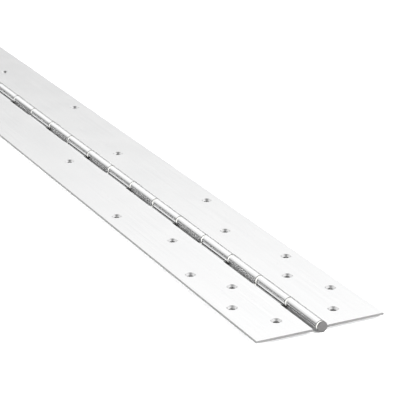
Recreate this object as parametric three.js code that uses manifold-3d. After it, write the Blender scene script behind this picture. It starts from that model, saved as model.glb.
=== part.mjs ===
// Piano hinge (continuous pin-and-barrel hinge) in stainless sheet, lying open flat.
// Millimetres. +Y runs along the pin, +X across to the right leaf, +Z away from the mounting face.
// The origin is at the lowest line of the barrel, under the pin, half way along the hinge.
import * as THREE from "three";
import { mergeVertices } from "three/addons/utils/BufferGeometryUtils.js";
import Module from "manifold-3d";

const wasm = await Module();
wasm.setup();

// Driving dimensions
const KNUCKLE_PITCH = 50.8; // two inches, each knuckle with one bearing
const KNUCKLE_COUNT = 24;
const SHEET_THICKNESS = 1.9; // 14 gauge
const LEAF_WIDTH = 58.75; // pin axis to outer edge, so the open hinge is 117.5 wide
const PIN_RADIUS = 2.0; // 5/32 inch pin
const BORE_RADIUS = 2.7; // inside of a rolled knuckle
const FACE_DROP = 0.7; // front face of a leaf to the pin axis, half the gap between closed leaves
const FLAT_START = 7.9; // pin axis to where the flat of a leaf begins, and to the edge of a notch
const BEND_RADIUS = 3.0; // middle of the sheet, where the flat turns down to run under the pin
const SEAM_ANGLE = THREE.MathUtils.degToRad(15); // the rolled end stops this far below the pin axis
const CURL_STEPS = 20;
const BEND_STEPS = 4;
const KNUCKLE_SEPARATION = 2.4; // axial room for a bearing flange between two knuckles

// Screw holes, in pitches from each end; the rows alternate between inner and outer
const FIRST_HOLE = 0.52;
const HOLE_STEPS = [0.75, 0.75, 0.75, 1.5, 1.5];
const WIDE_STEPS = 2; // equal steps that take up the rest of the way to the middle hole
const INNER_ROW = 26.2;
const OUTER_ROW = 46.0;
const HOLE_RADIUS = 2.8;
const COUNTERSINK_RADIUS = 4.6;
const COUNTERSINK_DEPTH = 1.8;
const HOLE_SEGMENTS = 14;

// Nylon bearings, end washers and pin caps
const AXIAL_GAP = 0.15;
const SLEEVE_BORE = PIN_RADIUS + 0.07;
const SLEEVE_RADIUS = BORE_RADIUS - 0.08;
const SLEEVE_REACH = 8; // how far a sleeve runs into the knuckle on each side
const FLANGE_RADIUS = 4.3;
const WASHER_THICKNESS = 1.7;
const CAP_THICKNESS = 1.1;
const CAP_RADIUS = 4.6;
const CAP_CHAMFER = 0.2;
const ROUND_SEGMENTS = 16;

// Worked-out sizes
const BARREL_RADIUS = BORE_RADIUS + SHEET_THICKNESS;
const LEAF_LENGTH = KNUCKLE_PITCH * KNUCKLE_COUNT;
const HALF_LENGTH = LEAF_LENGTH / 2;
const HALF_SEPARATION = KNUCKLE_SEPARATION / 2;
const PIN_HEIGHT = BARREL_RADIUS;
const FRONT_FACE = PIN_HEIGHT - FACE_DROP;
const BACK_FACE = FRONT_FACE - SHEET_THICKNESS;
const BARREL_END = HALF_LENGTH - HALF_SEPARATION;
const WASHER_START = BARREL_END + AXIAL_GAP;
const WASHER_END = WASHER_START + WASHER_THICKNESS;
const CAP_START = WASHER_END + AXIAL_GAP;

const stainlessLeaf = new THREE.MeshStandardMaterial({ color: 0xe4e5e6, roughness: 0.3, metalness: 1 });
const stainlessPin = new THREE.MeshStandardMaterial({ color: 0xc9cacb, roughness: 0.25, metalness: 1 });
const stainlessCap = new THREE.MeshStandardMaterial({ color: 0x999693, roughness: 0.4, metalness: 1 });
const whiteNylon = new THREE.MeshStandardMaterial({ color: 0xf1f1ee, roughness: 0.5, metalness: 0 });

function toSolid(geometry) {
  const bare = geometry.clone();
  bare.deleteAttribute("normal");
  bare.deleteAttribute("uv");
  const merged = mergeVertices(bare, 1e-4);
  return new wasm.Manifold(
    new wasm.Mesh({
      numProp: 3,
      vertProperties: new Float32Array(merged.attributes.position.array),
      triVerts: new Uint32Array(merged.index.array),
    }),
  );
}

function toGeometry(solid) {
  const mesh = solid.getMesh();
  const geometry = new THREE.BufferGeometry();
  geometry.setAttribute("position", new THREE.BufferAttribute(mesh.vertProperties, 3));
  geometry.setIndex(new THREE.BufferAttribute(mesh.triVerts, 1));
  geometry.computeVertexNormals();
  return geometry;
}

function namedMesh(name, geometry, material) {
  const mesh = new THREE.Mesh(geometry, material);
  mesh.name = name;
  return mesh;
}

// How steeply the sheet drops from the flat of the leaf to the underside of the pin: the slope of the
// straight line that touches both the rolled curl and the bend above it, at the middle of the sheet.
function rampAngle() {
  const curlRadius = BORE_RADIUS + SHEET_THICKNESS / 2;
  const bendBelowPin = FACE_DROP + SHEET_THICKNESS / 2 + BEND_RADIUS;
  const centres = Math.hypot(FLAT_START, bendBelowPin);
  return Math.asin((curlRadius + BEND_RADIUS) / centres) - Math.atan2(bendBelowPin, FLAT_START);
}

// An arc as points, ends included.
function arcPoints(x, z, radius, from, to, steps) {
  const points = [];
  for (let i = 0; i <= steps; i++) {
    const angle = from + ((to - from) * i) / steps;
    points.push(new THREE.Vector2(x + radius * Math.cos(angle), z + radius * Math.sin(angle)));
  }
  return points;
}

// Cross-section of a leaf through a knuckle: flat sheet that drops under the pin and is rolled over it.
function leafSection() {
  const ramp = rampAngle();
  const curlStart = ramp - Math.PI / 2;
  const curlEnd = -2 * Math.PI - SEAM_ANGLE;
  const bendCentre = FRONT_FACE - SHEET_THICKNESS / 2 - BEND_RADIUS;
  const under = BEND_RADIUS - SHEET_THICKNESS / 2;
  const over = BEND_RADIUS + SHEET_THICKNESS / 2;
  const up = Math.PI / 2;
  return new THREE.Shape([
    new THREE.Vector2(LEAF_WIDTH, BACK_FACE),
    ...arcPoints(FLAT_START, bendCentre, under, up, up + ramp, BEND_STEPS),
    ...arcPoints(0, PIN_HEIGHT, BARREL_RADIUS, curlStart, curlEnd, CURL_STEPS),
    ...arcPoints(0, PIN_HEIGHT, BORE_RADIUS, curlEnd, curlStart, CURL_STEPS),
    ...arcPoints(FLAT_START, bendCentre, over, up + ramp, up, BEND_STEPS),
    new THREE.Vector2(LEAF_WIDTH, FRONT_FACE),
  ]);
}

// One notch, which the other leaf's knuckle and a bearing flange on each side of it turn in.
function notch(centreY) {
  const room = 1;
  const left = -BARREL_RADIUS - room;
  const height = 2 * BARREL_RADIUS + 2 * room;
  const geometry = new THREE.BoxGeometry(FLAT_START - left, KNUCKLE_PITCH + KNUCKLE_SEPARATION, height);
  geometry.translate((FLAT_START + left) / 2, centreY, PIN_HEIGHT);
  return toSolid(geometry);
}

// The space taken out by one countersunk screw hole.
function screwHole(x, y) {
  const room = 1;
  const coneFoot = FRONT_FACE - COUNTERSINK_DEPTH;
  const profile = [
    new THREE.Vector2(0, BACK_FACE - room),
    new THREE.Vector2(HOLE_RADIUS, BACK_FACE - room),
    new THREE.Vector2(HOLE_RADIUS, coneFoot),
    new THREE.Vector2(COUNTERSINK_RADIUS, FRONT_FACE),
    new THREE.Vector2(COUNTERSINK_RADIUS, FRONT_FACE + room),
    new THREE.Vector2(0, FRONT_FACE + room),
  ];
  const geometry = new THREE.LatheGeometry(profile, HOLE_SEGMENTS);
  geometry.rotateX(Math.PI / 2);
  geometry.translate(x, y, 0);
  return toSolid(geometry);
}

// Hole centres of one leaf: a staggered row from one end to the middle, and its mirror image.
function holeCentres() {
  const closeSteps = HOLE_STEPS.reduce((sum, step) => sum + step, 0);
  const wideStep = (KNUCKLE_COUNT / 2 - FIRST_HOLE - closeSteps) / WIDE_STEPS;
  const steps = [...HOLE_STEPS, ...Array(WIDE_STEPS).fill(wideStep)];
  const centres = [];
  let pitches = FIRST_HOLE;
  steps.forEach((step, i) => {
    const x = i % 2 === 0 ? INNER_ROW : OUTER_ROW;
    const y = HALF_LENGTH - pitches * KNUCKLE_PITCH;
    centres.push([x, y], [x, -y]);
    pitches += step;
  });
  centres.push([steps.length % 2 === 0 ? INNER_ROW : OUTER_ROW, 0]);
  return centres;
}

// The right leaf. Its own knuckles are the even ones, counted from the -Y end.
function leafGeometry() {
  const blank = new THREE.ExtrudeGeometry(leafSection(), {
    depth: LEAF_LENGTH,
    bevelEnabled: false,
  });
  blank.rotateX(Math.PI / 2);
  blank.translate(0, HALF_LENGTH + HALF_SEPARATION, 0);
  let leaf = toSolid(blank);
  for (let k = 1; k < KNUCKLE_COUNT; k += 2) {
    leaf = leaf.subtract(notch((k + 0.5) * KNUCKLE_PITCH - HALF_LENGTH));
  }
  for (const [x, y] of holeCentres()) {
    leaf = leaf.subtract(screwHole(x, y));
  }
  return toGeometry(leaf);
}

// A ring turned about the pin, from a closed profile of [radius, y] pairs.
function turned(pairs) {
  const profile = pairs.map(([r, y]) => new THREE.Vector2(r, y));
  return new THREE.LatheGeometry(profile, ROUND_SEGMENTS);
}

// A bearing: a sleeve round the pin with a flange that keeps two knuckles apart.
function bearingGeometry() {
  const halfFlange = HALF_SEPARATION - AXIAL_GAP;
  return turned([
    [SLEEVE_BORE, -SLEEVE_REACH],
    [SLEEVE_RADIUS, -SLEEVE_REACH],
    [SLEEVE_RADIUS, -halfFlange],
    [FLANGE_RADIUS, -halfFlange],
    [FLANGE_RADIUS, halfFlange],
    [SLEEVE_RADIUS, halfFlange],
    [SLEEVE_RADIUS, SLEEVE_REACH],
    [SLEEVE_BORE, SLEEVE_REACH],
    [SLEEVE_BORE, -SLEEVE_REACH],
  ]);
}

// The +Y end washer: a flange under the cap, with a sleeve on its inner side only.
function washerGeometry() {
  const sleeveEnd = BARREL_END - SLEEVE_REACH;
  return turned([
    [SLEEVE_BORE, sleeveEnd],
    [SLEEVE_RADIUS, sleeveEnd],
    [SLEEVE_RADIUS, WASHER_START],
    [FLANGE_RADIUS, WASHER_START],
    [FLANGE_RADIUS, WASHER_END],
    [SLEEVE_BORE, WASHER_END],
    [SLEEVE_BORE, sleeveEnd],
  ]);
}

// The +Y pin cap: a plain disc with a broken edge.
function capGeometry() {
  const face = CAP_START + CAP_THICKNESS;
  return turned([
    [0, CAP_START],
    [CAP_RADIUS, CAP_START],
    [CAP_RADIUS, face - CAP_CHAMFER],
    [CAP_RADIUS - CAP_CHAMFER, face],
    [0, face],
  ]);
}

function pinGeometry() {
  return new THREE.CylinderGeometry(PIN_RADIUS, PIN_RADIUS, 2 * WASHER_END, ROUND_SEGMENTS);
}

const hinge = new THREE.Group();

// The two leaves are the same stamping, one turned half round.
const leaf = leafGeometry();
const leafRight = namedMesh("leaf_right", leaf, stainlessLeaf);
const leafLeft = namedMesh("leaf_left", leaf, stainlessLeaf);
leafLeft.rotation.z = Math.PI;
hinge.add(leafLeft, leafRight);

// Everything on the pin is placed along the pin axis.
const pinLine = new THREE.Group();
pinLine.position.z = PIN_HEIGHT;
hinge.add(pinLine);
pinLine.add(namedMesh("hinge_pin", pinGeometry(), stainlessPin));

const bearing = bearingGeometry();
for (let i = 1; i < KNUCKLE_COUNT; i++) {
  const mesh = namedMesh("bearing_" + String(i).padStart(2, "0"), bearing, whiteNylon);
  mesh.position.y = i * KNUCKLE_PITCH - HALF_LENGTH;
  pinLine.add(mesh);
}

const washer = washerGeometry();
const cap = capGeometry();
for (const [end, turn] of [["near", Math.PI], ["far", 0]]) {
  const endGroup = new THREE.Group();
  endGroup.rotation.z = turn;
  endGroup.add(namedMesh("end_washer_" + end, washer, whiteNylon));
  endGroup.add(namedMesh("pin_cap_" + end, cap, stainlessCap));
  pinLine.add(endGroup);
}

export default hinge;
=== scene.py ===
"""Piano hinge: the fine visual pieces, their materials, and the studio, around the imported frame.

Metres, +Z up. +Y runs along the pin and +X across to the right leaf.
"""

import math

import bmesh
import bpy
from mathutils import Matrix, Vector
from mathutils.geometry import delaunay_2d_cdt


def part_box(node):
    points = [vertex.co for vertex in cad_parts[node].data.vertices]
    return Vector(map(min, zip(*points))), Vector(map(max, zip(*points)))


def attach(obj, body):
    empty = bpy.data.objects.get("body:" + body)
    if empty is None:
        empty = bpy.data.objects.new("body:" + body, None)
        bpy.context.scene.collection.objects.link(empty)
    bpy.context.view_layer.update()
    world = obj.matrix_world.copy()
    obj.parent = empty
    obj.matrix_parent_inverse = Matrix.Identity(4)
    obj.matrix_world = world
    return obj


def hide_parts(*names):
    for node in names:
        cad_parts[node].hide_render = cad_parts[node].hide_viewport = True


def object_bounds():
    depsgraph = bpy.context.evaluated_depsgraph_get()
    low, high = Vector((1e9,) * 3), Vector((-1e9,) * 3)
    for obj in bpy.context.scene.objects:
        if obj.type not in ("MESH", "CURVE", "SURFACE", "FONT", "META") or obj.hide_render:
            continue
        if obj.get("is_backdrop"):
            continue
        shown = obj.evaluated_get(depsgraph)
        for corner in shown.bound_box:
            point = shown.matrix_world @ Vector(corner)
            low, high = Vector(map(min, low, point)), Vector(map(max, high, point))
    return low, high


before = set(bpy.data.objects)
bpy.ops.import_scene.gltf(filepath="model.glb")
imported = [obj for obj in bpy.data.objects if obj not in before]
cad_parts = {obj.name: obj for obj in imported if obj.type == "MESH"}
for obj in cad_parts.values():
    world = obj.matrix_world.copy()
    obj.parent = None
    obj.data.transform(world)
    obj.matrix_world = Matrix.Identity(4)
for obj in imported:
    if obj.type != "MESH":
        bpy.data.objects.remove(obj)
cad_low, cad_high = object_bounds()

MM = 0.001

# The sheet and its rolled knuckles
SHEET = 1.9 * MM
BARREL_RADIUS = 4.6 * MM
FACE_DROP = 0.7 * MM  # front face of a leaf below the pin axis
FLAT_START = 7.9 * MM  # where the flat begins, and the edge of a notch
BEND_RADIUS = 3.0 * MM  # middle of the sheet
SEAM_ANGLE = math.radians(15)
SEPARATION = 2.4 * MM  # between two knuckles
PITCH = 50.8 * MM
KNUCKLES = 24
EDGE_ROUND = 0.2 * MM
CORNER_ROUND = 0.35 * MM
CURL_STEPS = 66
BEND_STEPS = 6
TIP_STEPS = 3
EDGE_STEPS = 3
CORNER_STEPS = 5

# Screw holes, in pitches from each end; the rows alternate between inner and outer
FIRST_HOLE = 0.52
HOLE_STEPS = [0.75, 0.75, 0.75, 1.5, 1.5]
WIDE_STEPS = 2
INNER_ROW = 26.2 * MM
OUTER_ROW = 46.0 * MM
HOLE_RADIUS = 2.8 * MM
COUNTERSINK_RADIUS = 4.6 * MM
COUNTERSINK_DEPTH = 1.8 * MM
HOLE_SEGMENTS = 64
RIM_ROUND = 0.1 * MM

# Pieces on the pin
AXIAL_GAP = 0.15 * MM
PIN_RADIUS = 2.0 * MM
FLANGE_RADIUS = 4.3 * MM
SLEEVE_BORE = 2.07 * MM
SLEEVE_RADIUS = 2.62 * MM
SLEEVE_REACH = 8 * MM
WASHER_THICKNESS = 1.7 * MM
NYLON_FILLET = 0.12 * MM
CAP_FILLET = 0.25 * MM
PIN_FILLET = 0.3 * MM
FILLET_STEPS = 3
ROUND_SEGMENTS = 96

WELD = 1e-7
FILL_TOLERANCE = 1e-9


# ---------------------------------------------------------------- sizes read from the frame

leaf_low, leaf_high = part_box("leaf_right")
pin_low, pin_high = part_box("hinge_pin")
cap_low, cap_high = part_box("pin_cap_far")

PIN_HEIGHT = (pin_low.z + pin_high.z) / 2
BORE_RADIUS = BARREL_RADIUS - SHEET
LEAF_WIDTH = leaf_high.x
LEAF_NEAR = leaf_low.y
LEAF_FAR = leaf_high.y
HALF_LENGTH = PITCH * KNUCKLES / 2
FRONT_FACE = PIN_HEIGHT - FACE_DROP
BACK_FACE = FRONT_FACE - SHEET
MIDDLE = FRONT_FACE - SHEET / 2
BARREL_END = HALF_LENGTH - SEPARATION / 2
CAP_RADIUS = (cap_high.x - cap_low.x) / 2


# ---------------------------------------------------------------- mesh building


class Shell:
    """A closed skin with shared corners. Faces carry a material slot and a smoothing group."""

    def __init__(self):
        self.points = []
        self.where = {}
        self.faces = []
        self.slots = []
        self.groups = []

    def corner(self, point):
        key = tuple(round(c / WELD) for c in point)
        if key not in self.where:
            self.where[key] = len(self.points)
            self.points.append(tuple(point))
        return self.where[key]

    def face(self, points, slot=0, group="all"):
        ids = []
        for p in points:
            i = self.corner(p)
            if not ids or ids[-1] != i:
                ids.append(i)
        if ids[0] == ids[-1]:
            ids.pop()
        if len(ids) >= 3:
            self.faces.append(ids)
            self.slots.append(slot)
            self.groups.append(group)

    def object(self, name, materials, place=None):
        points = [place(p) for p in self.points] if place else self.points
        mesh = bpy.data.meshes.new(name)
        mesh.from_pydata(points, [], self.faces)
        for m in materials:
            mesh.materials.append(m)
        mesh.polygons.foreach_set("material_index", self.slots)
        mesh.polygons.foreach_set("use_smooth", [True] * len(self.faces))
        bm = bmesh.new()
        bm.from_mesh(mesh)
        bmesh.ops.recalc_face_normals(bm, faces=bm.faces)
        bm.faces.ensure_lookup_table()
        for e in bm.edges:
            groups = {self.groups[f.index] for f in e.link_faces}
            e.smooth = len(groups) == 1
        bm.to_mesh(mesh)
        bm.free()
        obj = bpy.data.objects.new(name, mesh)
        bpy.context.scene.collection.objects.link(obj)
        return obj


def edge_profile():
    """Points round a sheet's edge, from its front face to its back face.

    Each is (inset from the edge, height over the middle of the sheet, normal)."""
    angles = [math.pi / 2 * i / EDGE_STEPS for i in range(EDGE_STEPS + 1)]
    half = SHEET / 2
    front = [
        (
            EDGE_ROUND * (1 - math.sin(t)),
            half - EDGE_ROUND * (1 - math.cos(t)),
            (math.sin(t), math.cos(t)),
        )
        for t in angles
    ]
    back = [(inset, -height, (n[0], -n[1])) for inset, height, n in reversed(front)]
    return front + back


PROFILE = edge_profile()


def ramp_angle():
    """The slope of the straight run from the bend down to the barrel."""
    curl = BORE_RADIUS + SHEET / 2
    below = FACE_DROP + SHEET / 2 + BEND_RADIUS
    centres = math.hypot(FLAT_START, below)
    return math.asin((curl + BEND_RADIUS) / centres) - math.atan2(below, FLAT_START)


def sheet_path():
    """Stations along a knuckle's sheet, from the bend to the free end of the curl.

    Each station turns a height over the middle of the sheet into (x, z)."""
    ramp = ramp_angle()
    bend_z = MIDDLE - BEND_RADIUS
    curl = BORE_RADIUS + SHEET / 2

    def on_bend(angle):
        return lambda h: (
            FLAT_START + (BEND_RADIUS + h) * math.cos(angle),
            bend_z + (BEND_RADIUS + h) * math.sin(angle),
        )

    def on_curl(angle):
        return lambda h: (
            (curl - h) * math.cos(angle),
            PIN_HEIGHT + (curl - h) * math.sin(angle),
        )

    stations = []
    for i in range(1, BEND_STEPS + 1):
        stations.append((on_bend(math.pi / 2 + ramp * i / BEND_STEPS), 0.0))
    start = ramp - math.pi / 2
    end = -2 * math.pi - SEAM_ANGLE
    last = end + EDGE_ROUND / curl
    for i in range(CURL_STEPS + 1):
        stations.append((on_curl(start + (last - start) * i / CURL_STEPS), 0.0))
    for i in range(1, TIP_STEPS + 1):
        t = math.pi / 2 * i / TIP_STEPS
        angle = last - EDGE_ROUND * math.sin(t) / curl
        stations.append((on_curl(angle), EDGE_ROUND * (1 - math.cos(t))))
    return stations


STEEL, EDGE, BORED = 0, 1, 2


def add_knuckle(shell, low, high, flush_low):
    """One rolled strip from y = low to y = high.

    flush_low says that its low side is level with the end of the leaf."""
    sides = [(high, -1, i) for i in range(len(PROFILE))]
    sides += [(low, 1, i) for i in reversed(range(len(PROFILE)))]
    rings = []
    first = []
    for y, inward, i in sides:
        inset, height, _ = PROFILE[i]
        flush = flush_low and inward == 1
        x = FLAT_START + (EDGE_ROUND if flush else inset)
        first.append((x, y + inward * inset, MIDDLE + height))
    rings.append(first)
    for place, shrink in sheet_path():
        ring = []
        for y, inward, i in sides:
            inset, height, normal = PROFILE[i]
            x, z = place(height - shrink * normal[1])
            ring.append((x, y + inward * (inset + shrink * normal[0]), z))
        rings.append(ring)
    count = len(sides)
    per_side = len(PROFILE)
    for n, (a, b) in enumerate(zip(rings, rings[1:]), start=1):
        tip = n >= len(rings) - TIP_STEPS
        for i in range(count):
            j = (i + 1) % count
            back = i == per_side - 1
            front = i == count - 1
            # the strip's sides and free end take the edge material, whose dark base colour is
            # partly painted shade
            slot = STEEL if (back or front) and not tip else EDGE
            group = "tip" if tip else "back" if back else "front" if front else "side"
            shell.face([a[i], a[j], b[j], b[i]], slot, group)
    shell.face(rings[-1], EDGE, "end")


def add_free_edge(shell, chain, slot):
    """A rounded edge along a chain of (x, y, inward x, inward y)."""
    for (x0, y0, u0, v0), (x1, y1, u1, v1) in zip(chain, chain[1:]):
        for (i0, h0, _), (i1, h1, _) in zip(PROFILE, PROFILE[1:]):
            shell.face(
                [
                    (x0 + i0 * u0, y0 + i0 * v0, MIDDLE + h0),
                    (x1 + i0 * u1, y1 + i0 * v1, MIDDLE + h0),
                    (x1 + i1 * u1, y1 + i1 * v1, MIDDLE + h1),
                    (x0 + i1 * u0, y0 + i1 * v0, MIDDLE + h1),
                ],
                slot,
                "side",
            )


def corner_points(x, y, u, v, reverse):
    """A rounded outer corner at (x, y), whose inward directions are u in x and v in y."""
    cx, cy = x + u * CORNER_ROUND, y + v * CORNER_ROUND
    made = []
    for i in range(CORNER_STEPS + 1):
        t = math.pi / 2 * i / CORNER_STEPS
        du, dv = u * math.cos(t), v * math.sin(t)
        made.append((cx - du * CORNER_ROUND, cy - dv * CORNER_ROUND, du, dv))
    return made[::-1] if reverse else made


def hole_centres():
    """(x, y) of a leaf's holes: staggered from one end to the middle, and mirrored from there."""
    close = sum(HOLE_STEPS)
    wide = (KNUCKLES / 2 - FIRST_HOLE - close) / WIDE_STEPS
    steps = HOLE_STEPS + [wide] * WIDE_STEPS
    centres = []
    pitches = FIRST_HOLE
    for i, step in enumerate(steps):
        x = OUTER_ROW if i % 2 else INNER_ROW
        y = HALF_LENGTH - pitches * PITCH
        centres += [(x, y), (x, -y)]
        pitches += step
    centres.append((OUTER_ROW if len(steps) % 2 else INNER_ROW, 0.0))
    return centres


def hole_profile():
    """(radius, z, group of the face below) down one countersunk hole, with broken rims."""
    r = RIM_ROUND
    foot = FRONT_FACE - COUNTERSINK_DEPTH
    return [
        (COUNTERSINK_RADIUS + r, FRONT_FACE, "rim"),
        (COUNTERSINK_RADIUS + 0.45 * r, FRONT_FACE - 0.12 * r, "rim"),
        (COUNTERSINK_RADIUS - 0.1 * r, FRONT_FACE - 0.4 * r, "rim"),
        (COUNTERSINK_RADIUS - 0.7 * r, FRONT_FACE - 0.9 * r, "cone"),
        (HOLE_RADIUS + 0.3 * r, foot + 0.3 * r, "land"),
        (HOLE_RADIUS, foot - 0.1 * r, "land"),
        (HOLE_RADIUS, BACK_FACE + 0.4 * r, "land"),
        (HOLE_RADIUS + 0.4 * r, BACK_FACE, None),
    ]


def circle(x, y, radius, z):
    """Points round a level circle."""
    return [
        (
            x + radius * math.cos(2 * math.pi * i / HOLE_SEGMENTS),
            y + radius * math.sin(2 * math.pi * i / HOLE_SEGMENTS),
            z,
        )
        for i in range(HOLE_SEGMENTS)
    ]


def add_hole(shell, x, y):
    """The wall of one hole: its top and bottom rims are returned for the flat faces."""
    profile = hole_profile()
    rings = [circle(x, y, r, z) for r, z, _ in profile]
    for ring, below, (_, _, group) in zip(rings, rings[1:], profile):
        for i in range(HOLE_SEGMENTS):
            j = (i + 1) % HOLE_SEGMENTS
            shell.face([ring[i], ring[j], below[j], below[i]], BORED, group)
    return rings[0], rings[-1]


def add_flat(shell, loops, group):
    """Fill a flat face inside the first loop and round the others, which are circular holes."""
    points, edges, loop_of = [], [], []
    for number, loop in enumerate(loops):
        base = len(points)
        points += loop
        loop_of += [number] * len(loop)
        edges += [(base + i, base + (i + 1) % len(loop)) for i in range(len(loop))]
    flat = [Vector((p[0], p[1])) for p in points]
    inside_only = 1
    found = delaunay_2d_cdt(flat, edges, [], inside_only, FILL_TOLERANCE, True)
    faces, origins = found[2], found[3]
    for f in faces:
        corners = [origins[v][0] for v in f]
        touched = {loop_of[c] for c in corners}
        in_hole = len(touched) == 1 and 0 not in touched
        if not in_hole:
            shell.face([points[c] for c in corners], STEEL, group)


def leaf_shell():
    """The right leaf, whose knuckles are the even ones counted from the -Y end."""
    shell = Shell()
    outline = []  # edge chains and knuckle joins in order, for the flat faces
    lows = [k * PITCH - HALF_LENGTH + SEPARATION / 2 for k in range(0, KNUCKLES, 2)]
    highs = [low + PITCH - SEPARATION for low in lows]
    x = FLAT_START
    for n, (low, high) in enumerate(zip(lows, highs)):
        add_knuckle(shell, low, high, flush_low=n == 0)
        if n + 1 < len(lows):
            chain = [(x, high, 1, -1), (x, lows[n + 1], 1, 1)]
            slot = STEEL  # notches are milled bright, the outer edges sheared
        else:
            chain = [(x, high, 1, -1)]
            # the outer edges take the edge material, whose dark base colour is partly painted
            # shade
            slot = EDGE
            chain += corner_points(x, LEAF_FAR, 1, -1, False)
            chain += corner_points(LEAF_WIDTH, LEAF_FAR, -1, -1, True)
            chain += corner_points(LEAF_WIDTH, LEAF_NEAR, -1, 1, False)
            chain.append((x + EDGE_ROUND, LEAF_NEAR, 0, 1))
        add_free_edge(shell, chain, slot)
        outline += chain
    inset = EDGE_ROUND
    rim = [(px + inset * u, py + inset * v) for px, py, u, v in outline]
    tops, bottoms = [], []
    for hx, hy in hole_centres():
        top, bottom = add_hole(shell, hx, hy)
        tops.append(top)
        bottoms.append(bottom)
    add_flat(shell, [[(px, py, FRONT_FACE) for px, py in rim]] + tops, "front")
    add_flat(shell, [[(px, py, BACK_FACE) for px, py in rim]] + bottoms, "back")
    return shell


def filleted(corners, radius):
    """Round the corners of a closed outline of (r, y) pairs.

    Each point made is (r, y, smoothing group of the stretch after it)."""
    made = []
    count = len(corners)
    for i in range(count):
        before = Vector(corners[i - 1])
        at = Vector(corners[i])
        after = Vector(corners[(i + 1) % count])
        if at.x < WELD:
            made.append((at.x, at.y, "flat%d" % i))
            continue
        back = (before - at).normalized() * radius
        ahead = (after - at).normalized() * radius
        for s in range(FILLET_STEPS + 1):
            t = math.pi / 2 * s / FILLET_STEPS
            p = at + back * (1 - math.sin(t)) + ahead * (1 - math.cos(t))
            made.append((p.x, p.y, "fillet%d" % i if s < FILLET_STEPS else "flat%d" % i))
    return made


def turned(corners, radius, on_axis=False):
    """A ring turned about the pin from a closed outline of (r, y) pairs.

    on_axis makes a solid disc or rod: the outline's last stretch lies on the axis."""
    shell = Shell()
    outline = filleted(corners, radius)
    count = len(outline)
    rings = [
        [
            (
                r * math.cos(2 * math.pi * i / ROUND_SEGMENTS),
                y,
                PIN_HEIGHT + r * math.sin(2 * math.pi * i / ROUND_SEGMENTS),
            )
            for i in range(ROUND_SEGMENTS)
        ]
        for r, y, _ in outline
    ]
    stretches = count - 1 if on_axis else count
    for n in range(stretches):
        a, b = rings[n], rings[(n + 1) % count]
        for i in range(ROUND_SEGMENTS):
            j = (i + 1) % ROUND_SEGMENTS
            shell.face([a[i], a[j], b[j], b[i]], 0, outline[n][2])
    return shell


def bearing_shell():
    """A flange between two knuckles, with a sleeve into each, centred on y = 0."""
    half = SEPARATION / 2 - AXIAL_GAP
    return turned(
        [
            (SLEEVE_BORE, -SLEEVE_REACH),
            (SLEEVE_RADIUS, -SLEEVE_REACH),
            (SLEEVE_RADIUS, -half),
            (FLANGE_RADIUS, -half),
            (FLANGE_RADIUS, half),
            (SLEEVE_RADIUS, half),
            (SLEEVE_RADIUS, SLEEVE_REACH),
            (SLEEVE_BORE, SLEEVE_REACH),
        ],
        NYLON_FILLET,
    )


def washer_shell():
    """The far end's flange, with a sleeve into the last knuckle."""
    start = BARREL_END + AXIAL_GAP
    end = start + WASHER_THICKNESS
    inner = BARREL_END - SLEEVE_REACH
    return turned(
        [
            (SLEEVE_BORE, inner),
            (SLEEVE_RADIUS, inner),
            (SLEEVE_RADIUS, start),
            (FLANGE_RADIUS, start),
            (FLANGE_RADIUS, end),
            (SLEEVE_BORE, end),
        ],
        NYLON_FILLET,
    )


def cap_shell():
    """The disc on the far end of the pin."""
    face = cap_high.y
    back = cap_low.y
    outline = [(0, back), (CAP_RADIUS, back), (CAP_RADIUS, face), (0, face)]
    return turned(outline, CAP_FILLET, on_axis=True)


def pin_shell():
    """The rod through every knuckle."""
    end = pin_high.y
    outline = [(0, -end), (PIN_RADIUS, -end), (PIN_RADIUS, end), (0, end)]
    return turned(outline, PIN_FILLET, on_axis=True)


# ---------------------------------------------------------------- materials


class Nodes:
    """A material's node tree, with one call per node."""

    def __init__(self, name):
        self.material = bpy.data.materials.new(name)
        self.material.use_nodes = True
        self.tree = self.material.node_tree
        self.shader = self.tree.nodes["Principled BSDF"]
        self.coordinates = self.add("ShaderNodeTexCoord").outputs["Object"]

    def add(self, kind, settings=None, **inputs):
        node = self.tree.nodes.new(kind)
        for key, value in (settings or {}).items():
            setattr(node, key, value)
        for key, value in inputs.items():
            self.feed(node.inputs[key.replace("_", " ")], value)
        return node

    def feed(self, socket, value):
        if isinstance(value, bpy.types.NodeSocket):
            self.tree.links.new(value, socket)
        else:
            socket.default_value = value

    def stretched(self, scale, offset=(0, 0, 0), turn=0.0):
        node = self.add("ShaderNodeMapping", Vector=self.coordinates)
        node.inputs["Scale"].default_value = scale
        node.inputs["Location"].default_value = offset
        node.inputs["Rotation"].default_value = (0, 0, turn)
        return node.outputs["Vector"]

    def noise(self, vector, scale=1.0, detail=3.0, roughness=0.5):
        node = self.add("ShaderNodeTexNoise", Vector=vector)
        node.inputs["Scale"].default_value = scale
        node.inputs["Detail"].default_value = detail
        node.inputs["Roughness"].default_value = roughness
        return node.outputs["Fac"]

    def span(self, value, low, high, to_low, to_high):
        node = self.add("ShaderNodeMapRange", Value=value)
        node.inputs["From Min"].default_value = low
        node.inputs["From Max"].default_value = high
        node.inputs["To Min"].default_value = to_low
        node.inputs["To Max"].default_value = to_high
        return node.outputs["Result"]

    def math(self, operation, a, b):
        node = self.add("ShaderNodeMath", {"operation": operation})
        self.feed(node.inputs[0], a)
        self.feed(node.inputs[1], b)
        return node.outputs["Value"]

    def blend(self, factor, a, b):
        node = self.add("ShaderNodeMix", {"data_type": "RGBA"})
        self.feed(node.inputs[0], factor)
        self.feed(node.inputs[6], a)
        self.feed(node.inputs[7], b)
        return node.outputs[2]

    def bump(self, height, distance, strength=1.0, normal=None):
        node = self.add("ShaderNodeBump", Height=height)
        node.inputs["Distance"].default_value = distance
        node.inputs["Strength"].default_value = strength
        if normal is not None:
            self.feed(node.inputs["Normal"], normal)
        return node.outputs["Normal"]

    def finish(self, **inputs):
        for key, value in inputs.items():
            self.feed(self.shader.inputs[key.replace("_", " ")], value)
        return self.material


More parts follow.
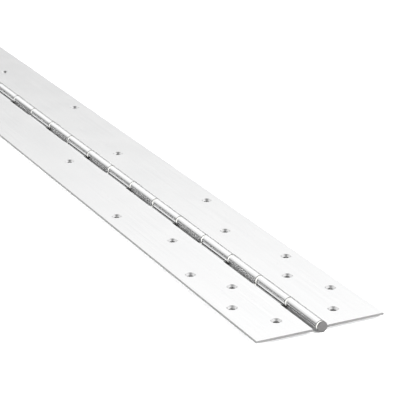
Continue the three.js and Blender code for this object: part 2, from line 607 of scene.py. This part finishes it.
def grey(level, warmth=0.0):
    """A grey, tinted towards red by a positive warmth."""
    return (level * (1 + warmth), level, level * (1 - warmth), 1.0)


def sheet_steel(name):
    """Bright rolled stainless: a fine grain along the pin, faint rubs, slow changes in tone."""
    n = Nodes(name)
    grain = n.noise(n.stretched((4200, 22, 4200)), detail=3.0, roughness=0.6)
    streak = n.noise(n.stretched((700, 6, 700), (3.1, 1.7, 0.4)), detail=2.0)
    cloud = n.noise(n.coordinates, scale=22.0, detail=3.0)
    scratch_noise = n.noise(n.stretched((1500, 60, 1500), (9.2, 4.4, 1.9), 0.35), detail=1.0)
    scratch = n.span(scratch_noise, 0.70, 0.76, 0.0, 1.0)
    tone = n.math("ADD", n.math("MULTIPLY", streak, 0.5), n.math("MULTIPLY", cloud, 0.5))
    colour = n.blend(n.span(tone, 0.35, 0.65, 0.0, 1.0), grey(0.85, -0.003), grey(0.90))
    rough = n.span(n.math("ADD", grain, cloud), 0.6, 1.4, 0.18, 0.28)
    rough = n.math("ADD", rough, n.math("MULTIPLY", scratch, 0.08))
    wave = n.bump(n.noise(n.stretched((9, 4, 9)), detail=1.0), 0.00005)
    relief = n.math("SUBTRACT", grain, n.math("MULTIPLY", scratch, 0.6))
    normal = n.bump(relief, 0.000002, normal=wave)
    n.shader.inputs["Metallic"].default_value = 1.0
    return n.finish(Base_Color=colour, Roughness=rough, Normal=normal)


def sheared_steel_and_painted_shade(name):
    """The sheared outer edge of the sheet: torn, with shear marks across it, and dark partly as
    dull sheared steel and partly as painted shade along the edge lines.
    """
    n = Nodes(name)
    torn = n.noise(n.stretched((900, 900, 2600)), detail=4.0, roughness=0.65)
    marks = n.noise(n.stretched((1600, 1600, 120), (2.0, 5.0, 1.0)), detail=2.0)
    # painted shade: these base greys sit far below steel's own tone, so the edge faces stay dark
    # though the floor and fills light them
    colour = n.blend(n.span(torn, 0.35, 0.7, 0.0, 1.0), grey(0.20, 0.01), grey(0.34))
    rough = n.span(torn, 0.3, 0.7, 0.38, 0.55)
    normal = n.bump(n.math("ADD", torn, marks), 0.00002)
    n.shader.inputs["Metallic"].default_value = 1.0
    return n.finish(Base_Color=colour, Roughness=rough, Normal=normal)


def bored_steel(name):
    """A drilled and countersunk surface: bright, with fine chatter."""
    n = Nodes(name)
    chatter = n.noise(n.stretched((1400, 1400, 9000)), detail=2.0)
    smear = n.noise(n.coordinates, scale=600.0, detail=3.0)
    colour = n.blend(n.span(smear, 0.35, 0.65, 0.0, 1.0), grey(0.78), grey(0.90))
    rough = n.span(chatter, 0.3, 0.7, 0.14, 0.24)
    normal = n.bump(chatter, 0.000008)
    n.shader.inputs["Metallic"].default_value = 1.0
    return n.finish(Base_Color=colour, Roughness=rough, Normal=normal)


def turned_steel(name, dark, light):
    """Steel faced on a lathe: rings about the pin, with a soft stain over them."""
    n = Nodes(name)
    node = n.add("ShaderNodeMapping", Vector=n.coordinates)
    node.inputs["Location"].default_value = (0, 0, -PIN_HEIGHT)
    node.inputs["Scale"].default_value = (1, 0, 1)
    length = n.add("ShaderNodeVectorMath", {"operation": "LENGTH"}, Vector=node.outputs["Vector"])
    wobble = n.noise(n.coordinates, scale=260.0, detail=2.0)
    phase = n.math("ADD", n.math("MULTIPLY", length.outputs["Value"], 26000.0), wobble)
    rings = n.math("SINE", phase, 0.0)
    stain = n.noise(n.coordinates, scale=420.0, detail=4.0)
    colour = n.blend(n.span(stain, 0.3, 0.7, 0.0, 1.0), dark, light)
    rough = n.span(n.math("ADD", n.math("MULTIPLY", rings, 0.25), stain), 0.2, 1.0, 0.3, 0.48)
    normal = n.bump(rings, 0.000003)
    n.shader.inputs["Metallic"].default_value = 1.0
    return n.finish(Base_Color=colour, Roughness=rough, Normal=normal)


def drawn_steel(name):
    """Cold drawn rod: draw lines along the pin."""
    n = Nodes(name)
    lines = n.noise(n.stretched((5000, 12, 5000)), detail=2.0)
    stain = n.noise(n.coordinates, scale=90.0, detail=3.0)
    colour = n.blend(n.span(stain, 0.3, 0.7, 0.0, 1.0), grey(0.50), grey(0.66))
    rough = n.span(n.math("ADD", lines, stain), 0.6, 1.4, 0.2, 0.32)
    normal = n.bump(lines, 0.000006)
    n.shader.inputs["Metallic"].default_value = 1.0
    return n.finish(Base_Color=colour, Roughness=rough, Normal=normal)


def moulded_nylon(name):
    """Moulded nylon: waxy, mottled, with a fine moulding skin, in a grey darker than natural nylon
    that is painted shade for the recessed joints.
    """
    n = Nodes(name)
    mottle = n.noise(n.coordinates, scale=500.0, detail=3.0)
    skin = n.noise(n.coordinates, scale=5200.0, detail=2.0)
    # painted shade: these greys sit well below natural nylon's off-white, standing in for the
    # shade in the joint recesses
    dark, light = (0.29, 0.29, 0.28, 1.0), (0.37, 0.37, 0.36, 1.0)
    colour = n.blend(n.span(mottle, 0.3, 0.7, 0.0, 1.0), dark, light)
    rough = n.span(mottle, 0.3, 0.7, 0.42, 0.55)
    normal = n.bump(skin, 0.00001)
    n.shader.inputs["Subsurface Weight"].default_value = 0.12
    n.shader.inputs["Subsurface Radius"].default_value = (0.0012, 0.0011, 0.0009)
    return n.finish(Base_Color=colour, Roughness=rough, Normal=normal)


# ---------------------------------------------------------------- the hinge


def add_piece(obj, node, body):
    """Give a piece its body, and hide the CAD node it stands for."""
    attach(obj, body)
    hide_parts(node)


def half_turn(point):
    """Turn half round about the vertical, which makes the left leaf from the right one."""
    return (-point[0], -point[1], point[2])


leaf_materials = [sheet_steel("leaf_sheet"), sheared_steel_and_painted_shade("leaf_edge"), bored_steel("leaf_bore")]
pin_material = drawn_steel("pin_rod")
# the caps' base greys are partly painted shade: far darker than steel's own tone, so the end faces
# stay grey under the fills
cap_material = turned_steel("cap_disc", grey(0.13, 0.012), grey(0.16, 0.008))
nylon_material = moulded_nylon("bearing_nylon")

leaf = leaf_shell()
right = leaf.object("sheet_right", leaf_materials)
add_piece(right, "leaf_right", "swing_leaf")
left = leaf.object("sheet_left", leaf_materials, half_turn)
add_piece(left, "leaf_left", "fixed_leaf")

pin = pin_shell().object("pin_rod", [pin_material])
add_piece(pin, "hinge_pin", "fixed_leaf")

bearing = bearing_shell()
for i in range(1, KNUCKLES):
    number = "%02d" % i
    low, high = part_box("bearing_" + number)
    middle = (low.y + high.y) / 2
    piece = bearing.object(
        "nylon_bearing_" + number,
        [nylon_material],
        lambda p, middle=middle: (p[0], p[1] + middle, p[2]),
    )
    add_piece(piece, "bearing_" + number, "fixed_leaf")

washer = washer_shell()
cap = cap_shell()
for end, place in (("near", half_turn), ("far", None)):
    piece = washer.object("nylon_washer_" + end, [nylon_material], place)
    add_piece(piece, "end_washer_" + end, "fixed_leaf")
    piece = cap.object("steel_cap_" + end, [cap_material], place)
    add_piece(piece, "pin_cap_" + end, "fixed_leaf")


# ---------------------------------------------------------------- studio

FLOOR_HALF_WIDTH = 30.0
DOME_LEVELS = [  # (upward part of the direction, brightness)
    (0.0, 0.08),
    (0.10, 0.19),
    (0.28, 0.78),
    (0.42, 1.24),
    (0.84, 1.25),
    (0.95, 0.22),
]
SUN_STRENGTH = 3.7
SUN_SPREAD = math.radians(25)
SUN_TILT = math.radians(32)  # from straight above towards the right leaf
FILL_SIZE = (2.4, 1.2)
SENSOR_WIDTH = 36.0
CAMERA_PLACE = (-0.6730, -1.7443, 0.6084)
CAMERA_DIRECTION = (0.4177, 0.8366, -0.3545)


def add_floor():
    """A wide plain floor at the barrel's lowest line."""
    half = FLOOR_HALF_WIDTH
    height = cad_low.z
    mesh = bpy.data.meshes.new("floor")
    corners = [
        (-half, -half, height),
        (half, -half, height),
        (half, half, height),
        (-half, half, height),
    ]
    mesh.from_pydata(corners, [], [(0, 1, 2, 3)])
    n = Nodes("floor_paper")
    mottle = n.noise(n.coordinates, scale=3.0, detail=2.0)
    colour = n.blend(mottle, grey(0.72), grey(0.76))
    n.shader.inputs["Roughness"].default_value = 0.9
    mesh.materials.append(n.finish(Base_Color=colour))
    floor = bpy.data.objects.new("floor", mesh)
    bpy.context.scene.collection.objects.link(floor)
    floor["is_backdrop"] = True


def dimmed_side(tree, part, low, high, dimmest):
    """A factor that rises smoothly from dimmest to 1 as one part of the direction grows."""
    node = tree.nodes.new("ShaderNodeMapRange")
    node.interpolation_type = "SMOOTHSTEP"
    node.inputs["From Min"].default_value = low
    node.inputs["From Max"].default_value = high
    node.inputs["To Min"].default_value = dimmest
    node.inputs["To Max"].default_value = 1.0
    tree.links.new(part, node.inputs["Value"])
    return node.outputs["Result"]


def add_world():
    """A studio dome, dark at the horizon and straight up, dimmer towards -Y and -X."""
    world = bpy.data.worlds.new("studio")
    world.use_nodes = True
    tree = world.node_tree
    background = tree.nodes["Background"]
    coordinates = tree.nodes.new("ShaderNodeTexCoord")
    split = tree.nodes.new("ShaderNodeSeparateXYZ")
    tree.links.new(coordinates.outputs["Generated"], split.inputs["Vector"])
    ramp = tree.nodes.new("ShaderNodeValToRGB")
    tree.links.new(split.outputs["Z"], ramp.inputs["Fac"])
    elements = ramp.color_ramp.elements
    while len(elements) < len(DOME_LEVELS):
        elements.new(0.5)
    for element, (position, level) in zip(elements, DOME_LEVELS):
        element.position = position
        element.color = grey(level)
    tree.links.new(ramp.outputs["Color"], background.inputs["Color"])
    strength = tree.nodes.new("ShaderNodeMath")
    strength.operation = "MULTIPLY"
    near = dimmed_side(tree, split.outputs["Y"], -0.2, 0.75, 0.8)
    left = dimmed_side(tree, split.outputs["X"], -0.7, 0.1, 0.68)
    tree.links.new(near, strength.inputs[0])
    tree.links.new(left, strength.inputs[1])
    tree.links.new(strength.outputs["Value"], background.inputs["Strength"])
    bpy.context.scene.world = world


def add_fill(name, place, target, power):
    """A low, wide light that faces the target."""
    data = bpy.data.lights.new(name, "AREA")
    data.shape = "RECTANGLE"
    data.size, data.size_y = FILL_SIZE
    data.energy = power
    light = bpy.data.objects.new(name, data)
    light.location = place
    direction = Vector(target) - Vector(place)
    light.rotation_euler = direction.to_track_quat("-Z", "Y").to_euler()
    bpy.context.scene.collection.objects.link(light)
    return light


def add_sun():
    """A wide soft light from above and from the right, even over the whole floor."""
    data = bpy.data.lights.new("overhead", "SUN")
    data.energy = SUN_STRENGTH
    data.angle = SUN_SPREAD
    light = bpy.data.objects.new("overhead", data)
    light.rotation_euler = (0, SUN_TILT, 0)
    bpy.context.scene.collection.objects.link(light)
    return light


def add_camera():
    """A long lens beyond the near end, above the left leaf."""
    data = bpy.data.cameras.new("camera")
    data.sensor_width = SENSOR_WIDTH
    data.lens = 164.7
    data.shift_x = -0.0018
    data.shift_y = 0.0044
    data.clip_start = 0.01
    data.clip_end = 200.0
    camera = bpy.data.objects.new("camera", data)
    camera.location = CAMERA_PLACE
    camera.rotation_euler = Vector(CAMERA_DIRECTION).to_track_quat("-Z", "Y").to_euler()
    bpy.context.scene.collection.objects.link(camera)
    bpy.context.scene.camera = camera


add_floor()
add_world()
lights = [
    add_sun(),
    add_fill("front_fill", place=(1.6, -3.2, 0.9), target=(0, -0.4, 0), power=230),
    add_fill("left_fill", place=(-3.2, 0.2, 0.8), target=(0, -0.2, 0), power=380),
]
for light in lights:
    light.visible_glossy = False  # the steel shows the dome and the floor, not the lights
add_camera()
bpy.context.scene.view_settings.view_transform = "Standard"

low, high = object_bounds()
